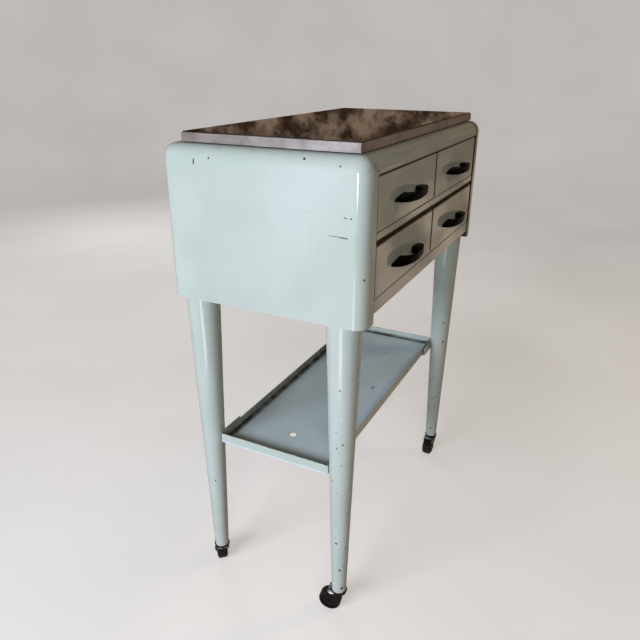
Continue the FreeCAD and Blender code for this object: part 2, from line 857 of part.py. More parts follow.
def caster_cup(label, corner, side, row):
    """A plastic cup round the leg's tip with a spigot up the tube, bored for the stem."""
    body = new_body()
    bore = "( stem_r + stem_clearance )"
    bore_top = "( stem_top + stem_headroom )"
    spigot_top = "( leg_tip + spigot_length )"
    sketch = polygon_sketch(body, "XZ_Plane", [
        (bore, "cup_bottom"),
        ("cup_r - cup_chamfer", "cup_bottom"),
        ("cup_r", "cup_bottom + cup_chamfer"),
        ("cup_r", "cup_top - cup_chamfer"),
        ("cup_r - cup_chamfer", "cup_top"),
        ("cup_seat_r", "cup_top"),
        ("cup_seat_r", "leg_tip"),
        ("spigot_r", "leg_tip"),
        ("spigot_r", spigot_top),
        ("0", spigot_top),
        ("0", bore_top),
        (bore, bore_top),
    ])
    revolve(body, sketch)
    return keep(place_caster(body, corner, side, row), label)


def caster_fork(label, corner, side, row):
    """A pressed fork: swivel plate with its race and stem, a bridge over the wheel, two cheeks."""
    body = new_body()
    body_cylinder(body, "Additive", "fork_plate_r", "0", "0",
                  ("fork_plate_bottom", "fork_plate_top"))
    body_cylinder(body, "Additive", "race_r", "0", "0", ("fork_plate_top", "race_top"))
    body_cylinder(body, "Additive", "stem_r", "0", "0", ("fork_plate_bottom", "stem_top"))
    cheek_y = "( fork_gap + fork_thickness )"
    body_box(body, "Additive", ("0 - fork_front", "trail + fork_bridge"),
             (f"0 - {cheek_y}", cheek_y), ("fork_plate_bottom", "fork_plate_top"))
    sketch = polygon_sketch(body, "XZ_Plane", [
        ("0 - fork_front", "fork_plate_top"),
        ("0 - fork_front", "fork_plate_bottom - cheek_drop"),
        ("trail - fork_boss_r", "wheel_r"),
        ("trail - fork_boss_r / 2", "wheel_r - fork_boss_r"),
        ("trail + fork_boss_r / 2", "wheel_r - fork_boss_r"),
        ("trail + fork_boss_r", "wheel_r"),
        ("trail + fork_bridge", "fork_plate_top"),
    ])
    pad(body, sketch, f"2 * {cheek_y}")
    room = body_box(body, "Subtractive", ("0 - 2 * fork_front", "trail + wheel_r"),
                    ("0 - fork_gap", "fork_gap"), ("0", "fork_plate_bottom"))
    doc.recompute()
    sides = [f"Edge{n}" for n, edge in enumerate(room.Shape.Edges, start=1)
             if fork_outline(edge)]
    soft = body.newObject("PartDesign::Fillet", "CheekRound")
    soft.Base = (room, sides)
    soft.setExpression("Radius", expr("cheek_round"))
    drill = body.newObject("PartDesign::SubtractiveCylinder", "AxleHole")
    drill.AttachmentSupport = [(origin_feature(body, "XZ_Plane"), "")]
    drill.MapMode = "FlatFace"
    drill.setExpression("Radius", expr("axle_r"))
    drill.setExpression("Height", expr(f"4 * {cheek_y}"))
    drill.setExpression("AttachmentOffset.Base.x", expr("trail"))
    drill.setExpression("AttachmentOffset.Base.y", expr("wheel_r"))
    drill.setExpression("AttachmentOffset.Base.z", expr(f"-2 * {cheek_y}"))
    return keep(place_caster(body, corner, side, row), label)


def fork_outline(edge):
    """True for the short edges across a cheek's rim, below the swivel plate."""
    limits = edge.BoundBox
    if limits.ZMax > DIMENSIONS["fork_plate_bottom"] - EDGE_MARGIN:
        return False
    runs_across = limits.YLength > DIMENSIONS["fork_thickness"] / 2
    return runs_across and limits.XLength < TOLERANCE


def caster_axle(label, corner, side, row):
    """A riveted pin across the fork with a head at each end."""
    head_start = "( fork_gap + fork_thickness )"
    head_end = f"( {head_start} + axle_head )"
    pin = rod_along_y("axle_r", "trail", (f"0 - {head_start}", head_start), "wheel_r")
    near = rod_along_y("axle_head_r", "trail", (f"0 - {head_end}", f"0 - {head_start}"),
                       "wheel_r")
    far = rod_along_y("axle_head_r", "trail", (head_start, head_end), "wheel_r")
    return keep(place_caster(fuse(pin, near, far), corner, side, row), label)


def caster_wheel(label, corner, side, row):
    """A solid wheel with rounded tread shoulders, dished sides and a raised hub."""
    body = new_body()
    bore = "( axle_r + stem_clearance )"
    half = "wheel_half_width"
    dish = "( wheel_half_width - dish_depth )"
    rim = "( wheel_r - wheel_shoulder )"
    upper = [
        (bore, half),
        ("hub_r", half),
        ("hub_r + hub_slope", dish),
        ("dish_r", dish),
        ("dish_r + dish_slope", half),
        (rim, half),
        ("wheel_r - wheel_crown", f"{half} - wheel_crown"),
        ("wheel_r", f"{half} - wheel_shoulder"),
    ]
    lower = [(radius, f"0 - ( {height} )") for radius, height in reversed(upper)]
    revolve(body, polygon_sketch(body, "XZ_Plane", upper + lower))
    doc.recompute()
    turned = doc.addObject("Part::Compound", "WheelUpright")
    turned.Links = [body]
    body.Placement.Rotation = FreeCAD.Rotation(FreeCAD.Vector(1, 0, 0), 90)
    body.setExpression("Placement.Base.x", expr("trail"))
    body.setExpression("Placement.Base.z", expr("wheel_r"))
    return keep(place_caster(turned, corner, side, row), label)


# ----------------------------------------------------------------------------- assembly

end_panel("end_panel_left", -1)
end_panel("end_panel_right", 1)
top_panel()
back_panel()
bottom_panel()
front_rail("front_mid_rail", ("mid_rail_bottom", "mid_rail_top"))
front_rail("front_bottom_rail", (PANEL_BOTTOM, "bottom_rail_top"))
front_post("front_post_left", -1)
front_post("front_post_right", 1)
centre_divider()
for drawer_row in ("upper", "lower"):
    drawer_runners(drawer_row)
trim("trim_front", True, -1)
trim("trim_back", True, 1)
trim("trim_left", False, -1)
trim("trim_right", False, 1)
top_board()
glass_top()
leg_mounting_plates()
leg_nuts()
shelf_tray()
shelf_brackets()
for drawer_row in ("upper", "lower"):
    for side_name, side_sign in (("left", -1), ("right", 1)):
        place = f"{drawer_row}_{side_name}"
        drawer_front(f"drawer_front_{place}", drawer_row, side_sign)
        drawer_box(f"drawer_box_{place}", drawer_row, side_sign)
        handle(f"handle_{place}", drawer_row, side_sign)
        handle_screws(f"handle_screws_{place}", drawer_row, side_sign)
for row_name, row_sign in (("front", -1), ("back", 1)):
    for side_name, side_sign in (("left", -1), ("right", 1)):
        place = f"{row_name}_{side_name}"
        leg(f"leg_{place}", side_sign, row_sign)
        caster_cup(f"caster_cup_{place}", place, side_sign, row_sign)
        caster_fork(f"caster_fork_{place}", place, side_sign, row_sign)
        caster_axle(f"caster_axle_{place}", place, side_sign, row_sign)
        caster_wheel(f"caster_wheel_{place}", place, side_sign, row_sign)

doc.recompute()

# ------------------------------------------------------------------- checks and output

for item in doc.Objects:
    if "Invalid" in item.State or "Error" in item.State:
        raise RuntimeError(f"{item.Label} failed: {item.State}")
for item in SUBPARTS:
    if item.Shape.isNull() or not item.Shape.isValid():
        raise RuntimeError(f"{item.Label} has no valid shape")
    if item.Shape.Volume <= 0:
        raise RuntimeError(f"{item.Label} is empty")

os.makedirs("parts", exist_ok=True)
for item in SUBPARTS:
    item.Shape.exportStep(f"parts/{item.Label}.step")
print(len(SUBPARTS), "sub-parts written")
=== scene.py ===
import math

import bmesh
import bpy
from mathutils import Matrix, Vector


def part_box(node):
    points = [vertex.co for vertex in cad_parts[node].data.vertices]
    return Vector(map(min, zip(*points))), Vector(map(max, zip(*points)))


# Looks of the rolling salon trolley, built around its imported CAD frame.
# Metres, in the frame of the CAD model: +Z up, the drawers face -Y, +X runs along the cabinet.
# The near end is the left one, at -X. Every sub-part keeps its CAD shape and gets its material here.

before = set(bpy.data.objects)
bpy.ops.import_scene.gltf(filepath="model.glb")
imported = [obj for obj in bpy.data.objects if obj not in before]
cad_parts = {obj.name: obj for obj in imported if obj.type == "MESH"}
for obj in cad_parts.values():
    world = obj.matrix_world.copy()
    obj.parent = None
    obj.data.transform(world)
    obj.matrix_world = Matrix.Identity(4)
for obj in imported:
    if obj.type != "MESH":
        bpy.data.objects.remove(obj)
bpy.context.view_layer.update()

SIDES = ("left", "right")
ROWS = ("front", "back")
DRAWER_ROWS = ("upper", "lower")
CORNERS = [f"{row}_{side}" for row in ROWS for side in SIDES]
DRAWERS = [f"{row}_{side}" for row in DRAWER_ROWS for side in SIDES]
UP = (0.0, 0.0, 1.0)
TOWARD_FRONT = (0.0, -1.0, 0.0)
NO_TURN = (0.0, 0.0, 0.0)

# sizes of the object that its boxes do not give
MM = 0.001
EDGE_RADIUS = 20.0 * MM
LEG_TIP_RADIUS = 12.4 * MM

# ragged edges of chips: how far they wander, and how finely
CHIP_WANDER = 1.1 * MM
CHIP_GRAIN = 900.0

# where the tray's dirt, painted shade and paler, bluer floor of painted light begin, above its underside,
# and the ring left by a bottle
TRAY_FLOOR = 2.0 * MM
BOTTLE_RING_RADIUS = 17.0 * MM

# a near-white patch on the near caster's fork, a painted highlight: its place from the middle of the cup,
# and its half sizes
FORK_HIGHLIGHT_OFFSET = (-11.9 * MM, 9.8 * MM, -16.7 * MM)
FORK_HIGHLIGHT_SIZE = (2.8 * MM, 5.4 * MM, 3.0 * MM)

# camera: off the near end of the cabinet, looking along it and down; angles in radians, lens in mm
CAMERA_PLACE = Vector((-0.9927, -0.4364, 0.8893))
CAMERA_YAW = 1.1074
CAMERA_PITCH = 0.4010
CAMERA_ROLL = 0.0039
CAMERA_LENS = 34.09
SENSOR_WIDTH = 36.0

# colours, linear: enamel, what shows where it is chipped or dirty, and painted light and shade: dark posts,
# dark seams, the tray's lips and paler floor, and the pale rim of its hole
DUCK_EGG = (0.438, 0.524, 0.490)
DUCK_EGG_PALE = (0.488, 0.566, 0.540)
DUCK_EGG_AGED = (0.375, 0.450, 0.370)
# the tray's floor: paler and bluer than its lips, painted light
TRAY_FLOOR_PAINTED_LIGHT = (0.540, 0.700, 0.780)
TRAY_FLOOR_PAINTED_LIGHT_PALE = (0.610, 0.770, 0.850)
TRAY_SCRATCH = (0.550, 0.570, 0.560)
# a pale ring round the hole in the tray: a painted highlight on the hole's rim
HOLE_RIM_HIGHLIGHT = (0.500, 0.500, 0.500)
# the front posts: dark brown, painted shade for the gaps beside the drawers
POST_PAINTED_SHADE = (0.085, 0.060, 0.034)
POST_PAINTED_SHADE_PALE = (0.120, 0.086, 0.050)
CHIP_DARK = (0.012, 0.012, 0.012)
RUST = (0.150, 0.062, 0.028)
GRIME = (0.110, 0.095, 0.065)
# seams: some dirt, mostly painted shade in the gaps between parts
SEAM_DIRT_AND_SHADE = (0.100, 0.066, 0.032)
# the tray's lips: some dirt, mostly painted shade, and a painted shadow by the near lip
TRAY_DIRT_AND_SHADE = (0.030, 0.023, 0.013)

# metals
STEEL_BRIGHT = (0.600, 0.590, 0.570)
STEEL_DULL = (0.300, 0.290, 0.270)
STEEL_BARE = (0.420, 0.410, 0.390)
STEEL_STAINED = (0.160, 0.130, 0.100)
AXLE_STEEL = (0.035, 0.034, 0.033)
AXLE_STEEL_DARK = (0.012, 0.012, 0.012)
# pale steel on the forks: partly wear, partly painted highlight
WORN_STEEL_AND_HIGHLIGHT = (0.720, 0.720, 0.710)
# near white, a painted highlight on the near caster's fork
FORK_PAINTED_HIGHLIGHT = (0.930, 0.930, 0.930)
LONG_TRIM = (0.460, 0.440, 0.440)
LONG_TRIM_DULL = (0.170, 0.150, 0.145)
# the end trims: the same aluminium painted paler and bluer, painted light
END_TRIM_PAINTED_LIGHT = (0.620, 0.610, 0.640)
END_TRIM_PAINTED_LIGHT_DULL = (0.240, 0.220, 0.225)

# plastics, rubber, glass and wood
HANDLE_BLACK = (0.0010, 0.0010, 0.0013)
CASTER_BLACK = (0.0035, 0.0035, 0.0040)
FORK_BLACK = (0.0040, 0.0040, 0.0045)
PLASTIC_DUST = (0.160, 0.140, 0.120)
WHEEL_LINT = (0.120, 0.115, 0.110)
TREAD_DUST = (0.110, 0.100, 0.100)
GLASS_BLACK = (0.004, 0.004, 0.005)
GLASS_FILM = (0.014, 0.012, 0.011)
GLASS_DUST = (0.250, 0.230, 0.200)
WOOD_DARK = (0.330, 0.200, 0.105)
WOOD_LIGHT = (0.500, 0.340, 0.190)
WOOD_PORE = (0.150, 0.085, 0.040)
# the board's top: painted shade in the gap under the trim
WOOD_PAINTED_SHADE = (0.012, 0.009, 0.007)

# the floor, the light it throws back, the dim room and the lamps
PALE_FLOOR = (0.690, 0.680, 0.665)
PALE_FLOOR_WORN = (0.650, 0.637, 0.620)
BOUNCE_DARK = (0.240, 0.160, 0.130)
BOUNCE_LIGHT = (0.360, 0.250, 0.210)
ROOM_GLOW = (0.070, 0.050, 0.036)
COOL_DAY = (0.870, 0.875, 0.970)
BLUE_SKY = (0.640, 0.830, 1.000)
SOFT_DAY = (1.000, 0.970, 0.900)
WARM_ROOM = (1.000, 0.720, 0.480)
PALE_DAY = (0.960, 0.980, 1.000)
WHITE = (1.000, 1.000, 1.000)

# what glossy surfaces mirror: stone walls above the horizon, a lit floor below it, daylight on one
# side; each step is the span over which one gives way to the next
WALL_DARK = (0.040, 0.022, 0.012)
WALL_LIGHT = (0.290, 0.200, 0.138)
GROUND_DARK = (0.170, 0.125, 0.088)
GROUND_LIGHT = (0.760, 0.580, 0.440)
CEILING = (0.170, 0.135, 0.095)
DAYLIGHT = (1.250, 1.270, 1.330)
DAYLIGHT_SIDE = (-0.940, 0.310, -0.130)
STONE_SCALE = 25.0
STONE_STEP = (0.40, 0.62)
CLOUD_SCALE = 15.0
CLOUD_STEP = (0.38, 0.64)
HORIZON_STEP = (-0.17, -0.07)
CEILING_STEP = (0.45, 0.62)
DAYLIGHT_STEP = (0.930, 0.992)

# stage: a round floor and its rising edge
FLOOR_RADIUS = 2.8
COVE = 2.2
BACKDROP_TOP = 6.0
FLOOR_GLOW = 0.55
BOUNCE_RADIUS = 9.0
MIDDLE_RADIUS = 0.5
TURNS = 96
COVE_STEPS = 12


# ---- materials ---------------------------------------------------------------------------

class Surface:
    """A procedural material being built: its node tree, its shader and shorthands for making nodes."""

    def __init__(self, name):
        self.material = bpy.data.materials.new(name)
        self.material.use_nodes = True
        self.tree = self.material.node_tree
        self.shader = self.tree.nodes["Principled BSDF"]
        self.place = self.node("ShaderNodeTexCoord").outputs["Object"]

    def node(self, kind, **settings):
        made = self.tree.nodes.new(kind)
        for key, value in settings.items():
            setattr(made, key, value)
        return made

    def feed(self, socket, value):
        """Link a socket to another socket's output, or set its plain value."""
        if isinstance(value, bpy.types.NodeSocket):
            self.tree.links.new(value, socket)
        elif socket.type == "RGBA":
            socket.default_value = (*value, 1.0)
        else:
            socket.default_value = value

    def set(self, **values):
        """Set the shader's sockets; underscores in the names stand for spaces."""
        for key, value in values.items():
            self.feed(self.shader.inputs[key.replace("_", " ")], value)

    def math(self, operation, *values):
        made = self.node("ShaderNodeMath", operation=operation)
        for socket, value in zip(made.inputs, values):
            self.feed(socket, value)
        return made.outputs[0]

    def vector(self, operation, *values):
        made = self.node("ShaderNodeVectorMath", operation=operation)
        for socket, value in zip(made.inputs, values):
            self.feed(socket, value)
        return made.outputs["Value" if operation in ("LENGTH", "DOT_PRODUCT") else "Vector"]

    def product(self, *values):
        """Several masks multiplied: 1 only where all of them are."""
        found = values[0]
        for value in values[1:]:
            found = self.math("MULTIPLY", found, value)
        return found

    def axes(self):
        """The three coordinates of each point."""
        made = self.node("ShaderNodeSeparateXYZ")
        self.feed(made.inputs[0], self.place)
        return made.outputs["X"], made.outputs["Y"], made.outputs["Z"]

    def facing(self, way):
        """How far the surface faces one way: 1 straight to it, -1 straight away from it."""
        normal = self.node("ShaderNodeNewGeometry").outputs["Normal"]
        return self.vector("DOT_PRODUCT", normal, way)

    def stretch(self, scale):
        """Coordinates multiplied axis by axis, for streaks and grain."""
        made = self.node("ShaderNodeMapping", vector_type="POINT")
        self.feed(made.inputs["Vector"], self.place)
        self.feed(made.inputs["Scale"], scale)
        return made.outputs[0]

    def noise(self, scale, detail=2.0, rough=0.5, place=None, colour=False):
        """Cloudy noise from 0 to 1, so many waves to the metre, or three of them as a colour."""
        made = self.node("ShaderNodeTexNoise")
        self.feed(made.inputs["Vector"], place or self.place)
        self.feed(made.inputs["Scale"], scale)
        self.feed(made.inputs["Detail"], detail)
        self.feed(made.inputs["Roughness"], rough)
        return made.outputs["Color" if colour else "Fac"]

    def range(self, value, low, high, to_low=0.0, to_high=1.0):
        """A smooth step of value from low to high, clamped."""
        made = self.node("ShaderNodeMapRange", interpolation_type="SMOOTHSTEP")
        for key, item in (("Value", value), ("From Min", low), ("From Max", high),
                          ("To Min", to_low), ("To Max", to_high)):
            self.feed(made.inputs[key], item)
        return made.outputs[0]

    def blend(self, factor, first, second):
        made = self.node("ShaderNodeMix", data_type="RGBA")
        for index, value in ((0, factor), (6, first), (7, second)):
            self.feed(made.inputs[index], value)
        return made.outputs[2]

    def most(self, *values):
        """The largest of several masks at each point."""
        found = values[0]
        for value in values[1:]:
            found = self.math("MAXIMUM", found, value)
        return found

    def bump(self, height, distance, strength):
        made = self.node("ShaderNodeBump")
        self.feed(made.inputs["Height"], height)
        self.feed(made.inputs["Distance"], distance)
        self.feed(made.inputs["Strength"], strength)
        return made.outputs[0]

    def ragged(self, amount=CHIP_WANDER, scale=CHIP_GRAIN):
        """The place pushed about by a little noise, so that edges of marks come out ragged."""
        drift = self.vector("SUBTRACT", self.noise(scale, 1.0, colour=True), (0.5, 0.5, 0.5))
        return self.vector("ADD", self.place, self.vector("MULTIPLY", drift, (amount, amount, amount)))

    def spot(self, place, centre, radii, turn=NO_TURN):
        """1 inside an ellipsoid and 0 outside it, with a short soft edge."""
        made = self.node("ShaderNodeMapping", vector_type="TEXTURE")
        self.feed(made.inputs["Vector"], place)
        self.feed(made.inputs["Location"], centre)
        self.feed(made.inputs["Rotation"], turn)
        self.feed(made.inputs["Scale"], radii)
        return self.range(self.vector("LENGTH", made.outputs[0]), 1.15, 0.7)

    def specks(self, place, scale, share, largest):
        """Scattered round specks: one cell in so many holds one, of a random size up to largest."""
        made = self.node("ShaderNodeTexVoronoi")
        self.feed(made.inputs["Vector"], place)
        self.feed(made.inputs["Scale"], scale)
        chance = self.node("ShaderNodeSeparateColor")
        self.feed(chance.inputs[0], made.outputs["Color"])
        size = self.range(chance.outputs[0], 1.0 - share, 1.0, 0.0, largest * scale)
        gap = self.math("SUBTRACT", size, made.outputs["Distance"])
        return self.range(gap, 0.0, 0.15 * largest * scale)


def mark(x, y, z, size, long=1.0, tilt=0.0):
    """A chip: its place, its radius, how many times longer than wide it is and its tilt about X."""
    return (Vector((x, y, z)), (size, size, size * long), (tilt, 0.0, 0.0))


def enamel_colour(s, base, pale):
    """Clean enamel: two close tones in clouds, a few aged blotches and faint upright streaks."""
    cloud = s.noise(7.0, 3.0, 0.55)
    mottle = s.noise(46.0, 4.0, 0.6)
    streak = s.noise(1.0, 3.0, 0.6, s.stretch((75.0, 75.0, 5.0)))
    colour = s.blend(s.range(cloud, 0.32, 0.68), base, pale)
    colour = s.blend(s.range(mottle, 0.52, 0.80, 0.0, 0.12), colour, DUCK_EGG_AGED)
    return s.blend(s.range(streak, 0.62, 0.85, 0.0, 0.07), colour, GRIME)


def enamel(name, base, pale, chips=(), speckle=0.0, smear=0.35, gloss=0.09, rust_zone=None, dirt_and_shade=None):
    """Glossy stove enamel on pressed steel: faint mottling, slight waves, chips down to dark metal.

    The last argument is a function that makes, on this surface, the mask of the seams darkened with dirt
    and with painted shade where the gaps between parts fall dark.
    """
    s = Surface(name)
    ragged = s.ragged()
    colour = enamel_colour(s, base, pale)
    found = [s.spot(ragged, *chip) for chip in chips]
    if speckle:
        found.append(s.specks(ragged, 95.0, speckle, 1.5 * MM))
        found.append(s.specks(ragged, 260.0, speckle * 0.5, 0.55 * MM))
    if rust_zone:
        near = s.spot(s.place, *rust_zone)
        pitted = s.range(s.noise(380.0, 3.0, 0.65), 0.66, 0.74)
        found.append(s.product(near, pitted))
        stain = s.product(near, s.range(s.noise(120.0, 3.0), 0.45, 0.80, 0.0, 0.35))
        colour = s.blend(stain, colour, RUST)
    height = s.math("ADD", s.product(s.noise(9.0, 1.0), 10.0), s.product(s.noise(520.0, 2.0), 0.05))
    rough = s.range(s.noise(14.0, 5.0, 0.65), 0.45, 0.75, gloss, gloss + smear * 0.4)
    # Seams darkened: some dirt, and painted shade in the gaps between parts.
    if dirt_and_shade:
        settled_and_shaded = s.product(dirt_and_shade(s), s.range(s.noise(210.0, 3.0), 0.20, 0.55, 0.72, 1.0))
        colour = s.blend(settled_and_shaded, colour, SEAM_DIRT_AND_SHADE)
        rough = s.math("ADD", rough, s.product(settled_and_shaded, 0.6))
        s.set(Specular_IOR_Level=s.math("MULTIPLY_ADD", settled_and_shaded, -0.45, 0.5))
    if found:
        chip = s.most(*found)
        colour = s.blend(s.product(s.range(chip, 0.02, 0.45), 0.6), colour, RUST)
        colour = s.blend(s.range(chip, 0.35, 0.75), colour, CHIP_DARK)
        height = s.math("SUBTRACT", height, chip)
        rough = s.math("ADD", rough, s.product(chip, 0.5))
    s.set(Base_Color=colour, Roughness=rough, IOR=1.5, Normal=s.bump(height, 0.12 * MM, 0.6))
    return s.material


def near_front(s, place_y, front):
    """The mask of the front strip of a piece, fading out some way behind the front."""
    return s.range(place_y, front + 30.0 * MM, front + 20.0 * MM)


def drawer_dirt_and_shade(node):
    """Dirt and painted shade round a drawer front: on its rolled edges and a little way back into the gap,
    less below.
    """
    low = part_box(node)[0]

    def dirt_and_shade(s):
        place_y, place_z = s.axes()[1:]
        depth = s.math("SUBTRACT", place_y, low.y)
        into_gap = s.range(depth, 0.1 * MM, 1.1 * MM)
        fading = s.range(depth, 13.0 * MM, 8.0 * MM)
        below = s.range(place_z, low.z + 1.0 * MM, low.z + 4.0 * MM, 0.25, 1.0)
        return s.product(into_gap, fading, below)

    return dirt_and_shade


def rail_dirt_and_shade(node, reach):
    """Dirt and painted shade along a rail's rolled lower edge, and on the top rail where it meets the far
    end panel.
    """
    low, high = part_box(node)

    def dirt_and_shade(s):
        place_x, place_y, place_z = s.axes()
        dirt_and_shade_under = s.range(place_z, low.z + reach, low.z + 0.2 * reach)
        if node == "top_panel":
            dirt_and_shade_under = s.most(dirt_and_shade_under, s.range(place_x, high.x - 2.0 * MM, high.x - 0.7 * MM))
        return s.product(dirt_and_shade_under, near_front(s, place_y, low.y))

    return dirt_and_shade


def flange_dirt_and_shade(side):
    """Dirt and painted shade on an end panel's cut edge, along the drawers; on the near panel not beside
    the top rail.
    """
    low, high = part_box(f"end_panel_{side}")
    edge, inward = (high.x, 1.0) if side == "left" else (low.x, -1.0)
    rail_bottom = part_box("top_panel")[0].z

    def dirt_and_shade(s):
        place_x, place_y, place_z = s.axes()
        mask = s.range(place_x, edge - inward * 1.6 * MM, edge - inward * 0.5 * MM)
        if side == "left":
            mask = s.product(mask, s.range(place_z, rail_bottom, rail_bottom - 3.0 * MM))
        return s.product(mask, near_front(s, place_y, low.y))

    return dirt_and_shade


def brushed_metal(name, colour, dark, along, roughness=0.28):
    """Satin metal with fine lines along one axis, dull patches and small dark pits."""
    s = Surface(name)
    grain = {"X": (9.0, 900.0, 900.0), "Y": (900.0, 9.0, 900.0), "Z": (900.0, 900.0, 9.0)}[along]
    lines = s.noise(1.0, 3.0, 0.6, s.stretch(grain))
    patches = s.noise(24.0, 4.0, 0.6)
    pits = s.specks(s.place, 700.0, 0.3, 0.4 * MM)
    tone = s.blend(s.range(patches, 0.40, 0.75, 0.0, 0.55), colour, dark)
    tone = s.blend(s.range(lines, 0.45, 0.80, 0.0, 0.30), tone, dark)
    tone = s.blend(s.product(pits, 0.5), tone, dark)
    rough = s.range(s.math("ADD", lines, patches), 0.6, 1.4, roughness, roughness + 0.18)
    height = s.math("SUBTRACT", lines, s.product(pits, 0.5))
    s.set(Base_Color=tone, Metallic=1.0, Roughness=rough, Normal=s.bump(height, 0.03 * MM, 0.5))
    return s.material


def black_glass():
    """Polished black glass with a film of dust, wipe marks and small specks."""
    s = Surface("black_glass")
    film = s.noise(11.0, 5.0, 0.7)
    wipes = s.noise(1.0, 3.0, 0.6, s.stretch((14.0, 90.0, 14.0)))
    dust = s.specks(s.place, 420.0, 0.25, 0.35 * MM)
    rough = s.range(s.math("ADD", film, wipes), 0.85, 1.35, 0.006, 0.040)
    colour = s.blend(s.range(film, 0.45, 0.8, 0.0, 0.5), GLASS_BLACK, GLASS_FILM)
    colour = s.blend(s.product(dust, 0.35), colour, GLASS_DUST)
    s.set(Base_Color=colour, Roughness=rough, IOR=1.55, Normal=s.bump(s.noise(5.0, 1.0), 0.05 * MM, 0.4))
    return s.material


def black_plastic(name, tone, gloss, dust, index):
    """Moulded black plastic: slight orange peel, rubbed patches and a little dust."""
    s = Surface(name)
    rub = s.noise(60.0, 4.0, 0.6)
    peel = s.noise(900.0, 2.0)
    colour = s.blend(s.range(rub, 0.5, 0.8, 0.0, dust), tone, PLASTIC_DUST)
    rough = s.range(rub, 0.35, 0.75, gloss, gloss + 0.2)
    s.set(Base_Color=colour, Roughness=rough, IOR=index, Normal=s.bump(peel, 0.02 * MM, 0.4))
    return s.material


def blackened_metal(corner):
    """A blackened pressed fork, pale on the rims of its cheeks and where its top plate faces up: partly
    wear, partly painted highlight.

    The near caster's fork has a near-white patch beside its cup: a painted highlight.
    """
    s = Surface(f"caster_metal_{corner}")
    wheel_low, wheel_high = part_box(f"caster_wheel_{corner}")
    cup_low, cup_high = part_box(f"caster_cup_{corner}")
    trail = (wheel_low + wheel_high) / 2 - (cup_low + cup_high) / 2
    axle_way = Vector((-trail.y, trail.x, 0.0)).normalized()
    along_axle = s.math("ABSOLUTE", s.facing(axle_way))
    patchy = s.noise(150.0, 4.0, 0.6)
    rim = s.product(s.range(along_axle, 0.75, 0.45), s.range(patchy, 0.44, 0.54, 0.05, 0.45))
    # Faces turned up are made pale: partly wear, partly a painted highlight on the top plate.
    plate = s.product(s.range(s.facing(UP), 0.55, 0.85), s.range(patchy, 0.40, 0.56, 0.04, 0.40))
    worn_and_highlit = s.most(rim, plate)
    colour = s.blend(worn_and_highlit, FORK_BLACK, WORN_STEEL_AND_HIGHLIGHT)
    # A near-white patch beside the near caster's cup: a painted highlight.
    if corner == "front_left":
        highlight_place = (cup_low + cup_high) / 2 + Vector(FORK_HIGHLIGHT_OFFSET)
        colour = s.blend(s.spot(s.ragged(), highlight_place, FORK_HIGHLIGHT_SIZE), colour, FORK_PAINTED_HIGHLIGHT)
    s.set(Base_Color=colour, Metallic=s.range(worn_and_highlit, 0.0, 1.0, 0.0, 0.55), IOR=1.3,
          Roughness=s.range(worn_and_highlit, 0.0, 1.0, 0.34, 0.26), Normal=s.bump(s.noise(700.0, 3.0), 0.05 * MM, 0.5))
    return s.material


def wheel_rubber(corner):
    """Black wheel: dusty tread, smoother hub with moulding rings about the axle."""
    s = Surface(f"wheel_rubber_{corner}")
    low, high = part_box(f"caster_wheel_{corner}")
    from_axle = s.vector("LENGTH", s.vector("SUBTRACT", s.place, (low + high) / 2))
    tread = s.range(from_axle, 15.5 * MM, 19.0 * MM)
    lint = s.range(s.noise(260.0, 5.0, 0.7), 0.50, 0.72)
    colour = s.blend(s.product(lint, 0.06), CASTER_BLACK, WHEEL_LINT)
    colour = s.blend(s.product(tread, 0.06), colour, TREAD_DUST)
    rings = s.math("SINE", s.product(from_axle, 2600.0))
    height = s.math("ADD", s.product(rings, 0.4), s.noise(800.0, 3.0))
    s.set(Base_Color=colour, Roughness=s.range(lint, 0.0, 1.0, 0.40, 0.70), IOR=1.3,
          Normal=s.bump(height, 0.04 * MM, 0.5))
    return s.material


def tray_dirt_and_shade(s, low, high, floor_level):
    """The mask of the tray's dirt and painted shade: along the feet of its lips, with a wide painted shadow
    by the near lip, and painted shade up the inside of the back lip.
    """
    x, y, z = s.axes()
    # The band 34 mm wide by the near lip is a painted shadow of that lip; the narrow bands by the other
    # lips are dirt and painted shade.
    dirt_and_shade_by_lip = s.most(s.range(x, low.x + 34.0 * MM, low.x + 12.0 * MM, 0.0, 0.85),
                    s.range(x, high.x - 12.0 * MM, high.x - 3.0 * MM),
                    s.range(y, low.y + 9.0 * MM, low.y + 3.0 * MM),
                    s.range(y, high.y - 14.0 * MM, high.y - 4.0 * MM))
    low_down = s.range(z, floor_level + 7.0 * MM, floor_level + 0.5 * MM)
    inside = s.product(s.range(x, low.x + 0.4 * MM, low.x + 0.9 * MM),
                       s.range(x, high.x - 0.4 * MM, high.x - 0.9 * MM),
                       s.range(y, low.y + 0.4 * MM, low.y + 0.9 * MM),
                       s.range(y, high.y - 0.4 * MM, high.y - 0.9 * MM))
    # Painted shade up the inside of the back lip, where it faces the front.
    shade_up_back_lip = s.product(s.range(s.facing(TOWARD_FRONT), 0.5, 0.8),
                            s.range(y, high.y - 6.0 * MM, high.y - 4.0 * MM, 0.0, 0.6))
    patchy = s.range(s.noise(45.0, 3.0), 0.25, 0.6, 0.6, 0.96)
    return s.product(s.most(s.product(dirt_and_shade_by_lip, low_down, inside), shade_up_back_lip), patchy)


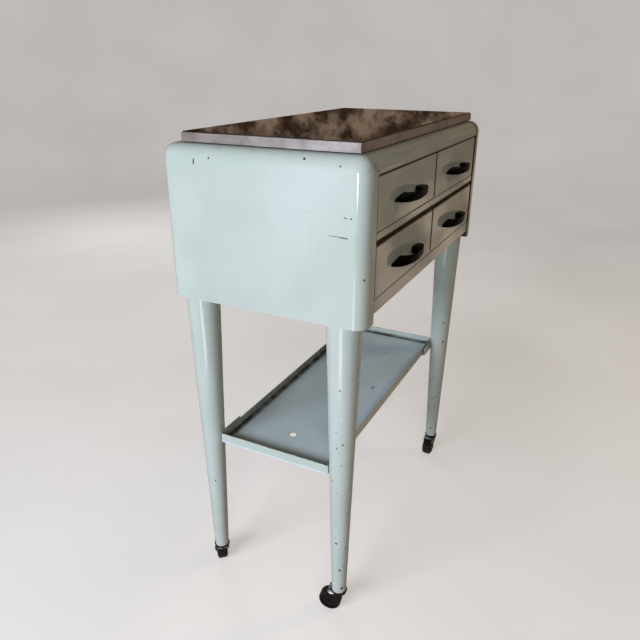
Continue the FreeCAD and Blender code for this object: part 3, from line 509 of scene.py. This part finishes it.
def tray_enamel():
    """The tray's enamel: its floor paler and bluer, painted light, with scratches, stains and a ring left
    by a bottle.
    """
    s = Surface("tray_enamel")
    low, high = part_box("shelf_tray")
    middle = (low + high) / 2
    z = s.axes()[2]
    floor_level = low.z + TRAY_FLOOR
    on_floor = s.range(z, floor_level + 0.6 * MM, floor_level - 0.4 * MM)
    ragged = s.ragged(1.8 * MM, 500.0)

    def floor_distance(along, across):
        """How far each point is, in plan, from a place on the floor given from the tray's middle."""
        centre = Vector((along, middle.y + across, floor_level))
        return s.vector("LENGTH", s.vector("MULTIPLY", s.vector("SUBTRACT", ragged, centre), (1, 1, 0)))

    cloud = s.noise(9.0, 4.0, 0.6)
    colour = s.blend(s.range(cloud, 0.3, 0.7), DUCK_EGG, DUCK_EGG_PALE)
    # The floor is painted paler and bluer than the lips: painted light.
    painted_floor_light = s.blend(s.range(cloud, 0.3, 0.75), TRAY_FLOOR_PAINTED_LIGHT, TRAY_FLOOR_PAINTED_LIGHT_PALE)
    colour = s.blend(on_floor, colour, painted_floor_light)

    off_ring = s.math("ABSOLUTE", s.math("SUBTRACT", floor_distance(0.196, -0.036), BOTTLE_RING_RADIUS))
    ring = s.product(s.range(off_ring, 1.5 * MM, 0.5 * MM), s.range(s.noise(75.0, 2.0), 0.42, 0.60))
    drip_at = Vector((0.018, middle.y - 0.060, floor_level))
    stains = s.most(ring, s.product(s.specks(ragged, 110.0, 0.10, 1.6 * MM), on_floor),
                    s.spot(ragged, drip_at, (7.0 * MM, 3.0 * MM, 3.0 * MM)))
    # A pale ring round the hole in the floor: a painted highlight on its rim.
    hole_rim_highlight = s.product(s.range(floor_distance(-0.202, 0.002), 9.5 * MM, 8.3 * MM), on_floor)
    lip_top = s.range(z, high.z - 0.5 * MM, high.z - 0.1 * MM)
    worn_lip = s.product(lip_top, s.range(s.noise(130.0, 3.0), 0.46, 0.60))
    scratch = s.range(s.noise(1.0, 2.0, 0.5, s.stretch((30.0, 420.0, 30.0))), 0.66, 0.74)
    colour = s.blend(tray_dirt_and_shade(s, low, high, floor_level), colour, TRAY_DIRT_AND_SHADE)
    colour = s.blend(hole_rim_highlight, colour, HOLE_RIM_HIGHLIGHT)
    colour = s.blend(s.product(stains, 0.75), colour, GRIME)
    colour = s.blend(s.product(worn_lip, 0.8), colour, RUST)
    colour = s.blend(s.product(scratch, on_floor, 0.25), colour, TRAY_SCRATCH)

    rough = s.range(s.math("ADD", s.noise(18.0, 4.0), s.product(on_floor, 0.5)), 0.4, 1.1, 0.14, 0.38)
    height = s.math("ADD", s.product(s.noise(11.0, 1.0), 8.0), s.product(s.noise(500.0), 0.1))
    s.set(Base_Color=colour, Roughness=rough, IOR=1.5, Normal=s.bump(height, 0.12 * MM, 0.6))
    return s.material


def board_wood():
    """Plain softwood board with long grain along the cabinet, its top painted black under the glass:
    painted shade in the gap under the trim.
    """
    s = Surface("board_wood")
    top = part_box("top_board")[1].z
    grain = s.noise(1.0, 5.0, 0.65, s.stretch((7.0, 130.0, 130.0)))
    pores = s.noise(1.0, 2.0, 0.5, s.stretch((60.0, 900.0, 900.0)))
    colour = s.blend(s.range(grain, 0.35, 0.68), WOOD_DARK, WOOD_LIGHT)
    colour = s.blend(s.range(pores, 0.62, 0.75, 0.0, 0.5), colour, WOOD_PORE)
    # The top 0.9 mm of the board turns black: painted shade in the gap under the trim.
    painted_shade_top = s.range(s.axes()[2], top - 0.3 * MM, top - 0.9 * MM)
    colour = s.blend(painted_shade_top, colour, WOOD_PAINTED_SHADE)
    s.set(Base_Color=colour, Roughness=s.range(grain, 0.3, 0.7, 0.55, 0.75),
          Normal=s.bump(grain, 0.15 * MM, 0.5))
    return s.material


def paint(node, material):
    """Give a CAD node its material."""
    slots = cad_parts[node].data.materials
    slots.clear()
    slots.append(material)


# chips on each end panel, millimetres: from its middle toward the back, height, half width;
# then, for a scrape, how many times longer than wide it is and its tilt in radians
END_KNOCKS = {
    "left": [
        (102, 762, 1.3, 3.4, 0.12),
        (76, 768, 1.5),
        (69, 781.5, 0.9),
        (62, 780.5, 0.9),
        (9, 781.5, 1.0),
        (-72, 776.5, 1.9),
        (-124, 771, 1.3),
        (-159, 625, 1.6),
        (-77, 709, 0.8),
        (-120, 681, 0.45, 26.0, 1.60),
        (-131, 680.5, 0.8, 9.0, 1.62),
        (-133, 707, 0.7, 4.0, 1.55),
        (-141, 706.8, 0.9, 2.0, 1.55),
    ],
    "right": [
        (-100, 770, 1.6),
        (60, 640, 1.2),
        (120, 700, 1.8),
        (-30, 590, 1.3),
        (20, 742, 0.9, 7.0, 1.2),
    ],
}

# chips round the near front corner and above the drawers, millimetres: from the near end toward
# the far one, behind the front, height, half width
CORNER_KNOCKS = [
    (30.3, 0.0, 764.4, 2.1),
    (18.0, 6.0, 783.5, 1.9),
    (15.0, 0.8, 772.0, 1.2),
    (359.0, 0.0, 756.5, 1.3),
    (403.0, 0.0, 755.5, 2.2),
]

# chips on each leg: height in millimetres, bearing about the leg's axis in degrees, half width in
# millimetres
LEG_KNOCKS = {
    "front_left": [
        (469, -122, 0.7), (452, -167, 1.1), (408, -172, 0.6), (378, 179, 0.8), (357, -152, 1.1),
        (349, -178, 1.0), (342, -168, 0.7), (318, -156, 0.8), (285, 158, 1.0), (264, -178, 0.7),
        (223, -115, 0.9), (203, 179, 0.6), (171, 176, 0.7), (158.5, 180, 1.5), (148, -121, 0.9),
        (142, -95, 1.0), (109, -101, 1.0), (106, -127, 0.9), (100, -153, 1.7), (58, -134, 1.8),
    ],
    "back_left": [(486, 150, 1.2), (202, -154, 1.2), (150, 80, 1.1), (120, 120, 1.0), (88, 40, 1.4)],
    "front_right": [
        (396, 159, 0.8), (353, -149, 1.4), (304, -138, 2.0), (245, 175, 0.7), (209, 169, 1.1),
        (200, 154, 1.3), (180, -140, 0.8), (158, -153, 1.3), (154, 178, 1.5), (132, -163, 1.0),
        (129, 137, 1.0), (100, -155, 1.1), (69, -173, 1.6),
    ],
    "back_right": [(330, 20, 1.2), (182, -10, 1.4), (140, -60, 1.2), (96, 60, 1.6)],
}

# every chip on a leg is this much wider than its list says
LEG_KNOCK_GROWTH = 1.3


def end_panel_chips(side):
    """The chips of an end panel, set back onto its roundings where they lie past the flat face."""
    low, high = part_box(f"end_panel_{side}")
    middle = (low + high) / 2
    face_x, inward = (low.x, 1.0) if side == "left" else (high.x, -1.0)

    def set_back(past):
        """How far a rounding has fallen back at a distance past where it starts."""
        if past <= 0.0:
            return 0.0
        return EDGE_RADIUS - math.sqrt(max(0.0, EDGE_RADIUS ** 2 - past ** 2))

    def chip(across, height, size, *shape):
        past_top = height * MM - (high.z - EDGE_RADIUS)
        past_side = abs(across) * MM - (high.y - middle.y - EDGE_RADIUS)
        inset = set_back(past_top) + set_back(past_side)
        return mark(face_x + inward * inset, middle.y + across * MM, height * MM, size * MM, *shape)

    return [chip(*knock) for knock in END_KNOCKS[side]]


def corner_chips():
    """The chips round the near front corner and above the drawers."""
    near_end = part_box("end_panel_left")[0].x
    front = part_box("top_panel")[0].y
    return [mark(near_end + along * MM, front + behind * MM, height * MM, size * MM)
            for along, behind, height, size in CORNER_KNOCKS]


def leg_chips(corner):
    """The chips of a leg, on its tapering surface."""
    low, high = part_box(f"leg_{corner}")
    centre = (low + high) / 2
    top_radius = (high.x - low.x) / 2
    marks = []
    for height, bearing, size in LEG_KNOCKS[corner]:
        up = height * MM
        radius = LEG_TIP_RADIUS + (top_radius - LEG_TIP_RADIUS) * (up - low.z) / (high.z - low.z)
        turn = math.radians(bearing)
        marks.append(mark(centre.x + radius * math.cos(turn), centre.y + radius * math.sin(turn), up,
                          size * LEG_KNOCK_GROWTH * MM))
    return marks


def paint_cabinet():
    """The enamelled shell; the near front corner is pitted with rust."""
    near_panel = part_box("end_panel_left")
    corner = Vector((near_panel[0].x + 18.0 * MM, near_panel[0].y + 6.0 * MM, near_panel[1].z - 12.0 * MM))
    end_rust = (corner, (16.0 * MM, 12.0 * MM, 14.0 * MM))
    rail_rust = (corner, (26.0 * MM, 14.0 * MM, 16.0 * MM))
    for side in SIDES:
        paint(f"end_panel_{side}",
              enamel(f"end_enamel_{side}", DUCK_EGG, DUCK_EGG_PALE, end_panel_chips(side) + corner_chips(),
                     rust_zone=end_rust, dirt_and_shade=flange_dirt_and_shade(side)))
    # how far up from each rail's lower edge its dirt and painted shade reach
    dirt_and_shade_reach = {"top_panel": 4.5 * MM, "front_mid_rail": 4.0 * MM, "front_bottom_rail": 1.0 * MM}
    for node, reach in dirt_and_shade_reach.items():
        paint(node, enamel(f"{node}_enamel", DUCK_EGG, DUCK_EGG_PALE, corner_chips(), speckle=0.03,
                           smear=0.2, gloss=0.06, rust_zone=rail_rust, dirt_and_shade=rail_dirt_and_shade(node, reach)))
    shell = enamel("cabinet_enamel", DUCK_EGG, DUCK_EGG_PALE, speckle=0.02)
    for node in ("back_panel", "bottom_panel"):
        paint(node, shell)
    # The front posts are painted dark brown: painted shade in the gaps beside the drawers.
    post = enamel("post_painted_shade", POST_PAINTED_SHADE, POST_PAINTED_SHADE_PALE, speckle=0.05, gloss=0.5)
    for side in SIDES:
        paint(f"front_post_{side}", post)


def paint_drawers():
    """The drawers with their handles, and the dividers, runners and plates inside the cabinet."""
    inside = enamel("inner_enamel", DUCK_EGG_AGED, DUCK_EGG, speckle=0.05, gloss=0.25)
    handle = black_plastic("handle_black", HANDLE_BLACK, gloss=0.22, dust=0.008, index=1.05)
    zinc = brushed_metal("screw_steel", STEEL_BRIGHT, STEEL_DULL, "X")
    for drawer in DRAWERS:
        node = f"drawer_front_{drawer}"
        paint(node, enamel(f"{node}_enamel", DUCK_EGG, DUCK_EGG_PALE, speckle=0.03, smear=0.16, gloss=0.045,
                           dirt_and_shade=drawer_dirt_and_shade(node)))
        paint(f"drawer_box_{drawer}", inside)
        paint(f"handle_{drawer}", handle)
        paint(f"handle_screws_{drawer}", zinc)
    paint("centre_divider", inside)
    steel = brushed_metal("bare_steel", STEEL_BARE, STEEL_STAINED, "X", roughness=0.38)
    for node in ("drawer_runners_upper", "drawer_runners_lower", "leg_mounting_plates", "leg_nuts"):
        paint(node, steel)


def paint_top():
    """The glass on its board, and the aluminium trim round them."""
    for side in ("front", "back"):
        paint(f"trim_{side}", brushed_metal(f"aluminium_trim_{side}", LONG_TRIM, LONG_TRIM_DULL, "X"))
    # The end trims get paler, bluer tones than the long ones: painted light.
    for side in SIDES:
        paint(f"trim_{side}", brushed_metal(f"aluminium_trim_{side}", END_TRIM_PAINTED_LIGHT, END_TRIM_PAINTED_LIGHT_DULL, "Y"))
    paint("glass_top", black_glass())
    paint("top_board", board_wood())


def paint_stand():
    """The legs, the tray between them and the casters."""
    paint("shelf_tray", tray_enamel())
    paint("shelf_brackets", enamel("bracket_enamel", DUCK_EGG, DUCK_EGG_PALE, speckle=0.06))
    cup = black_plastic("caster_plastic", CASTER_BLACK, gloss=0.30, dust=0.05, index=1.30)
    axle = brushed_metal("axle_steel", AXLE_STEEL, AXLE_STEEL_DARK, "Z")
    for corner in CORNERS:
        paint(f"leg_{corner}",
              enamel(f"leg_enamel_{corner}", DUCK_EGG, DUCK_EGG_PALE, leg_chips(corner), speckle=0.03))
        paint(f"caster_cup_{corner}", cup)
        paint(f"caster_fork_{corner}", blackened_metal(corner))
        paint(f"caster_axle_{corner}", axle)
        paint(f"caster_wheel_{corner}", wheel_rubber(corner))


# ---- stage, light and camera --------------------------------------------------------------

def ground(name, outline, height=0.0):
    """A round stage surface about the object: the outline, (radius, height) pairs, turned about Z."""
    bearings = [math.tau * step / TURNS for step in range(TURNS)]
    mesh = bpy.data.meshes.new(name)
    shape = bmesh.new()
    rings = []
    for radius, level in outline:
        circle = [(radius * math.cos(bearing), radius * math.sin(bearing)) for bearing in bearings]
        rings.append([shape.verts.new((x, y, level + height)) for x, y in circle])
    shape.faces.new(rings[0])
    for inner, outer in zip(rings, rings[1:]):
        for step in range(TURNS):
            follow = (step + 1) % TURNS
            shape.faces.new((inner[step], outer[step], outer[follow], inner[follow]))
    shape.normal_update()
    shape.to_mesh(mesh)
    shape.free()
    for face in mesh.polygons:
        face.use_smooth = True
    made = bpy.data.objects.new(name, mesh)
    bpy.context.scene.collection.objects.link(made)
    return made


def floor():
    """A pale floor curving up into a backdrop, seen by the camera, over a warm dim one for bounce light."""
    angles = [math.pi / 2 * step / COVE_STEPS for step in range(COVE_STEPS + 1)]
    bend = [(FLOOR_RADIUS + COVE * math.sin(angle), COVE * (1.0 - math.cos(angle))) for angle in angles]
    seen = ground("floor", [(MIDDLE_RADIUS, 0.0), *bend, (FLOOR_RADIUS + COVE, BACKDROP_TOP)])
    s = Surface("pale_floor")
    tone = s.blend(s.range(s.noise(1.6, 4.0), 0.3, 0.7), PALE_FLOOR, PALE_FLOOR_WORN)
    s.set(Base_Color=tone, Roughness=0.8, Emission_Color=tone, Emission_Strength=FLOOR_GLOW,
          Normal=s.bump(s.noise(350.0, 3.0), 0.2 * MM, 0.3))
    seen.data.materials.append(s.material)
    seen.visible_diffuse = False
    seen.visible_glossy = False
    seen.visible_shadow = False

    bounce = ground("floor_bounce", [(MIDDLE_RADIUS, 0.0), (BOUNCE_RADIUS, 0.0)], -1.0 * MM)
    s = Surface("bounce_floor")
    tone = s.blend(s.range(s.noise(2.4, 3.0), 0.35, 0.65), BOUNCE_DARK, BOUNCE_LIGHT)
    s.set(Base_Color=tone, Roughness=0.9)
    bounce.data.materials.append(s.material)
    bounce.visible_camera = False
    bounce.visible_shadow = False
    bounce.visible_glossy = False


def surround():
    """Light from all round: a dim warm room, and for glossy surfaces what they mirror of it."""
    world = bpy.data.worlds.new("surround")
    bpy.context.scene.world = world
    world.use_nodes = True
    tree = world.node_tree
    tree.nodes.clear()
    link = tree.links.new

    def node(kind, **settings):
        made = tree.nodes.new(kind)
        for key, value in settings.items():
            setattr(made, key, value)
        return made

    def noise(scale, detail, rough):
        made = node("ShaderNodeTexNoise")
        made.inputs["Scale"].default_value = scale
        made.inputs["Detail"].default_value = detail
        made.inputs["Roughness"].default_value = rough
        link(way, made.inputs["Vector"])
        return made.outputs["Fac"]

    def step(value, limits):
        made = node("ShaderNodeMapRange", interpolation_type="SMOOTHSTEP")
        made.inputs["From Min"].default_value, made.inputs["From Max"].default_value = limits
        link(value, made.inputs["Value"])
        return made.outputs[0]

    def blend(factor, first, second):
        made = node("ShaderNodeMix", data_type="RGBA")
        link(factor, made.inputs[0])
        for socket, value in ((made.inputs[6], first), (made.inputs[7], second)):
            if isinstance(value, tuple):
                socket.default_value = (*value, 1.0)
            else:
                link(value, socket)
        return made.outputs[2]

    way = node("ShaderNodeTexCoord").outputs["Generated"]
    height = node("ShaderNodeSeparateXYZ")
    link(way, height.inputs[0])
    side = node("ShaderNodeVectorMath", operation="DOT_PRODUCT")
    side.inputs[1].default_value = Vector(DAYLIGHT_SIDE).normalized()
    link(way, side.inputs[0])
    stones = noise(STONE_SCALE, 8.0, 0.62)
    clouds = noise(CLOUD_SCALE, 3.0, 0.5)
    wall = blend(step(stones, STONE_STEP), WALL_DARK, WALL_LIGHT)
    wall = blend(step(height.outputs["Z"], CEILING_STEP), wall, CEILING)
    lower = blend(step(clouds, CLOUD_STEP), GROUND_DARK, GROUND_LIGHT)
    mirrored = blend(step(height.outputs["Z"], HORIZON_STEP), lower, wall)
    mirrored = blend(step(side.outputs["Value"], DAYLIGHT_STEP), mirrored, DAYLIGHT)
    seen = blend(node("ShaderNodeLightPath").outputs["Is Diffuse Ray"], mirrored, ROOM_GLOW)
    lit = node("ShaderNodeBackground")
    link(seen, lit.inputs["Color"])
    out = node("ShaderNodeOutputWorld")
    link(lit.outputs[0], out.inputs["Surface"])


def lamp(name, place, aim, size, power, colour, diffuse=True, glossy=True):
    """A rectangular lamp aimed at a point, of a size in metres and a power in watts."""
    data = bpy.data.lights.new(name, "AREA")
    data.shape = "RECTANGLE"
    data.size, data.size_y = size
    data.energy = power
    data.color = colour
    made = bpy.data.objects.new(name, data)
    bpy.context.scene.collection.objects.link(made)
    made.location = place
    made.rotation_euler = (Vector(aim) - Vector(place)).to_track_quat("-Z", "Y").to_euler()
    made.visible_camera = False
    made.visible_diffuse = diffuse
    made.visible_glossy = glossy


def lights():
    """Daylight from the near end, weak warm and pale fills from the far side, and two glints.

    The glints light nothing: they only show as highlights in glossy surfaces.
    """
    middle = (0.0, 0.0, 0.5)
    drawers = (0.0, -0.1, 0.6)
    lamp("window", (-2.45, 0.62, 1.24), middle, (1.5, 0.45), 50.0, COOL_DAY, glossy=False)
    lamp("low_sky", (-2.4, 0.45, 0.34), (0.0, 0.0, 0.3), (1.3, 0.3), 16.0, BLUE_SKY, glossy=False)
    lamp("front_side", (-2.3, -1.15, 1.20), drawers, (0.7, 0.7), 14.0, SOFT_DAY, glossy=False)
    lamp("warm_fill", (1.3, -1.6, 1.75), drawers, (0.5, 0.5), 7.0, WARM_ROOM, glossy=False)
    lamp("back_fill", (1.8, 2.3, 1.30), middle, (0.9, 0.9), 12.0, PALE_DAY, glossy=False)
    lamp("low_glint", (-1.5, -0.15, 0.02), (-1.5, -0.15, 1.0), (1.1, 0.3), 5.0, WHITE, diffuse=False)
    lamp("door_glint", (-2.25, -0.38, 0.41), (-0.3, -0.15, 0.74), (0.22, 0.22), 4.5, WHITE, diffuse=False)


def camera():
    """The camera: its way is a yaw from +Y toward +X, then a pitch down, then a roll."""
    ahead = Vector((math.sin(CAMERA_YAW) * math.cos(CAMERA_PITCH),
                    math.cos(CAMERA_YAW) * math.cos(CAMERA_PITCH), -math.sin(CAMERA_PITCH)))
    level = Vector((math.cos(CAMERA_YAW), -math.sin(CAMERA_YAW), 0.0))
    above = level.cross(ahead)
    across = level * math.cos(CAMERA_ROLL) + above * math.sin(CAMERA_ROLL)
    up = above * math.cos(CAMERA_ROLL) - level * math.sin(CAMERA_ROLL)
    data = bpy.data.cameras.new("camera")
    data.lens = CAMERA_LENS
    data.sensor_width = SENSOR_WIDTH
    made = bpy.data.objects.new("camera", data)
    bpy.context.scene.collection.objects.link(made)
    turn = Matrix((across, up, -ahead)).transposed().to_4x4()
    made.matrix_world = Matrix.Translation(CAMERA_PLACE) @ turn
    bpy.context.scene.camera = made


bpy.context.scene.view_settings.view_transform = "Standard"
paint_cabinet()
paint_drawers()
paint_top()
paint_stand()
floor()
surround()
lights()
camera()
